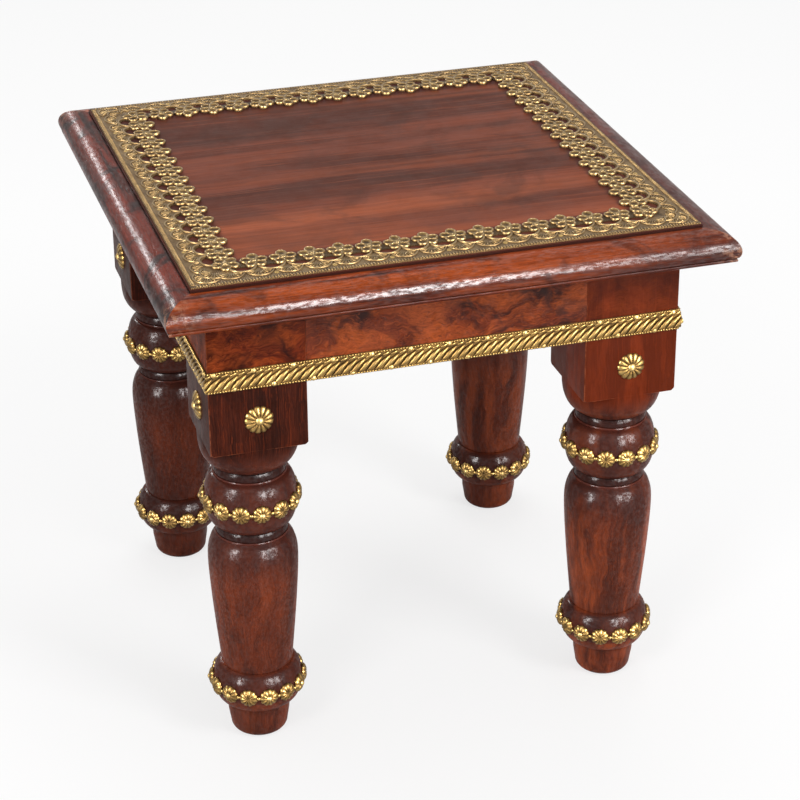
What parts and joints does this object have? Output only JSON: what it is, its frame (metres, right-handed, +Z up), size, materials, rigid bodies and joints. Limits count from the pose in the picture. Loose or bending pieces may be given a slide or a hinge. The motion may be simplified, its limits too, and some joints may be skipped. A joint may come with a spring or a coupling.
{
  "type": "low occasional table",
  "caption": "Low square occasional table with a moulded wooden top, turned legs, and pressed brass border, rope bands and rosette chains.",
  "frame": {"origin": "on the floor, under the middle of the top", "axes": "+Z up, +X to the right along the front apron, +Y from the front to the back"},
  "size_m": [0.38, 0.38, 0.3556],
  "materials": {
    "top_wood": "satin worn lacquer",
    "moulding_wood": "glossy worn lacquer",
    "apron_wood": "satin lacquer over figured grain",
    "leg_wood": "glossy dark lacquer",
    "block_wood": "bare sawn wood",
    "screw_steel": "plain steel",
    "brass": "aged pressed brass with dark recesses"
  },
  "bodies": {
    "root": {"apron_band_back": "brass", "apron_band_front": "brass", "apron_band_left": "brass", "apron_band_nails": "brass", "apron_band_right": "brass", "apron_rail_back": "apron_wood", "apron_rail_front": "apron_wood", "apron_rail_left": "apron_wood", "apron_rail_right": "apron_wood", "border_nails": "brass", "border_strip_back": "brass", "border_strip_front": "brass", "border_strip_left": "brass", "border_strip_right": "brass", "chain_lower_back_left": "brass", "chain_lower_back_right": "brass", "chain_lower_front_left": "brass", "chain_lower_front_right": "brass", "chain_nails": "brass", "chain_upper_back_left": "brass", "chain_upper_back_right": "brass", "chain_upper_front_left": "brass", "chain_upper_front_right": "brass", "edge_moulding_back": "moulding_wood", "edge_moulding_front": "moulding_wood", "edge_moulding_left": "moulding_wood", "edge_moulding_right": "moulding_wood", "leg_back_left": "leg_wood", "leg_back_right": "leg_wood", "leg_front_left": "leg_wood", "leg_front_right": "leg_wood", "rosette_back_left_back": "brass", "rosette_back_left_left": "brass", "rosette_back_right_back": "brass", "rosette_back_right_right": "brass", "rosette_front_left_front": "brass", "rosette_front_left_left": "brass", "rosette_front_right_front": "brass", "rosette_front_right_right": "brass", "rosette_nails": "brass", "top_block_back": "block_wood", "top_block_front": "block_wood", "top_block_left": "block_wood", "top_block_right": "block_wood", "top_block_screws": "screw_steel", "top_board_back": "top_wood", "top_board_front": "top_wood", "top_board_middle": "top_wood"}
  },
  "joints": []
}
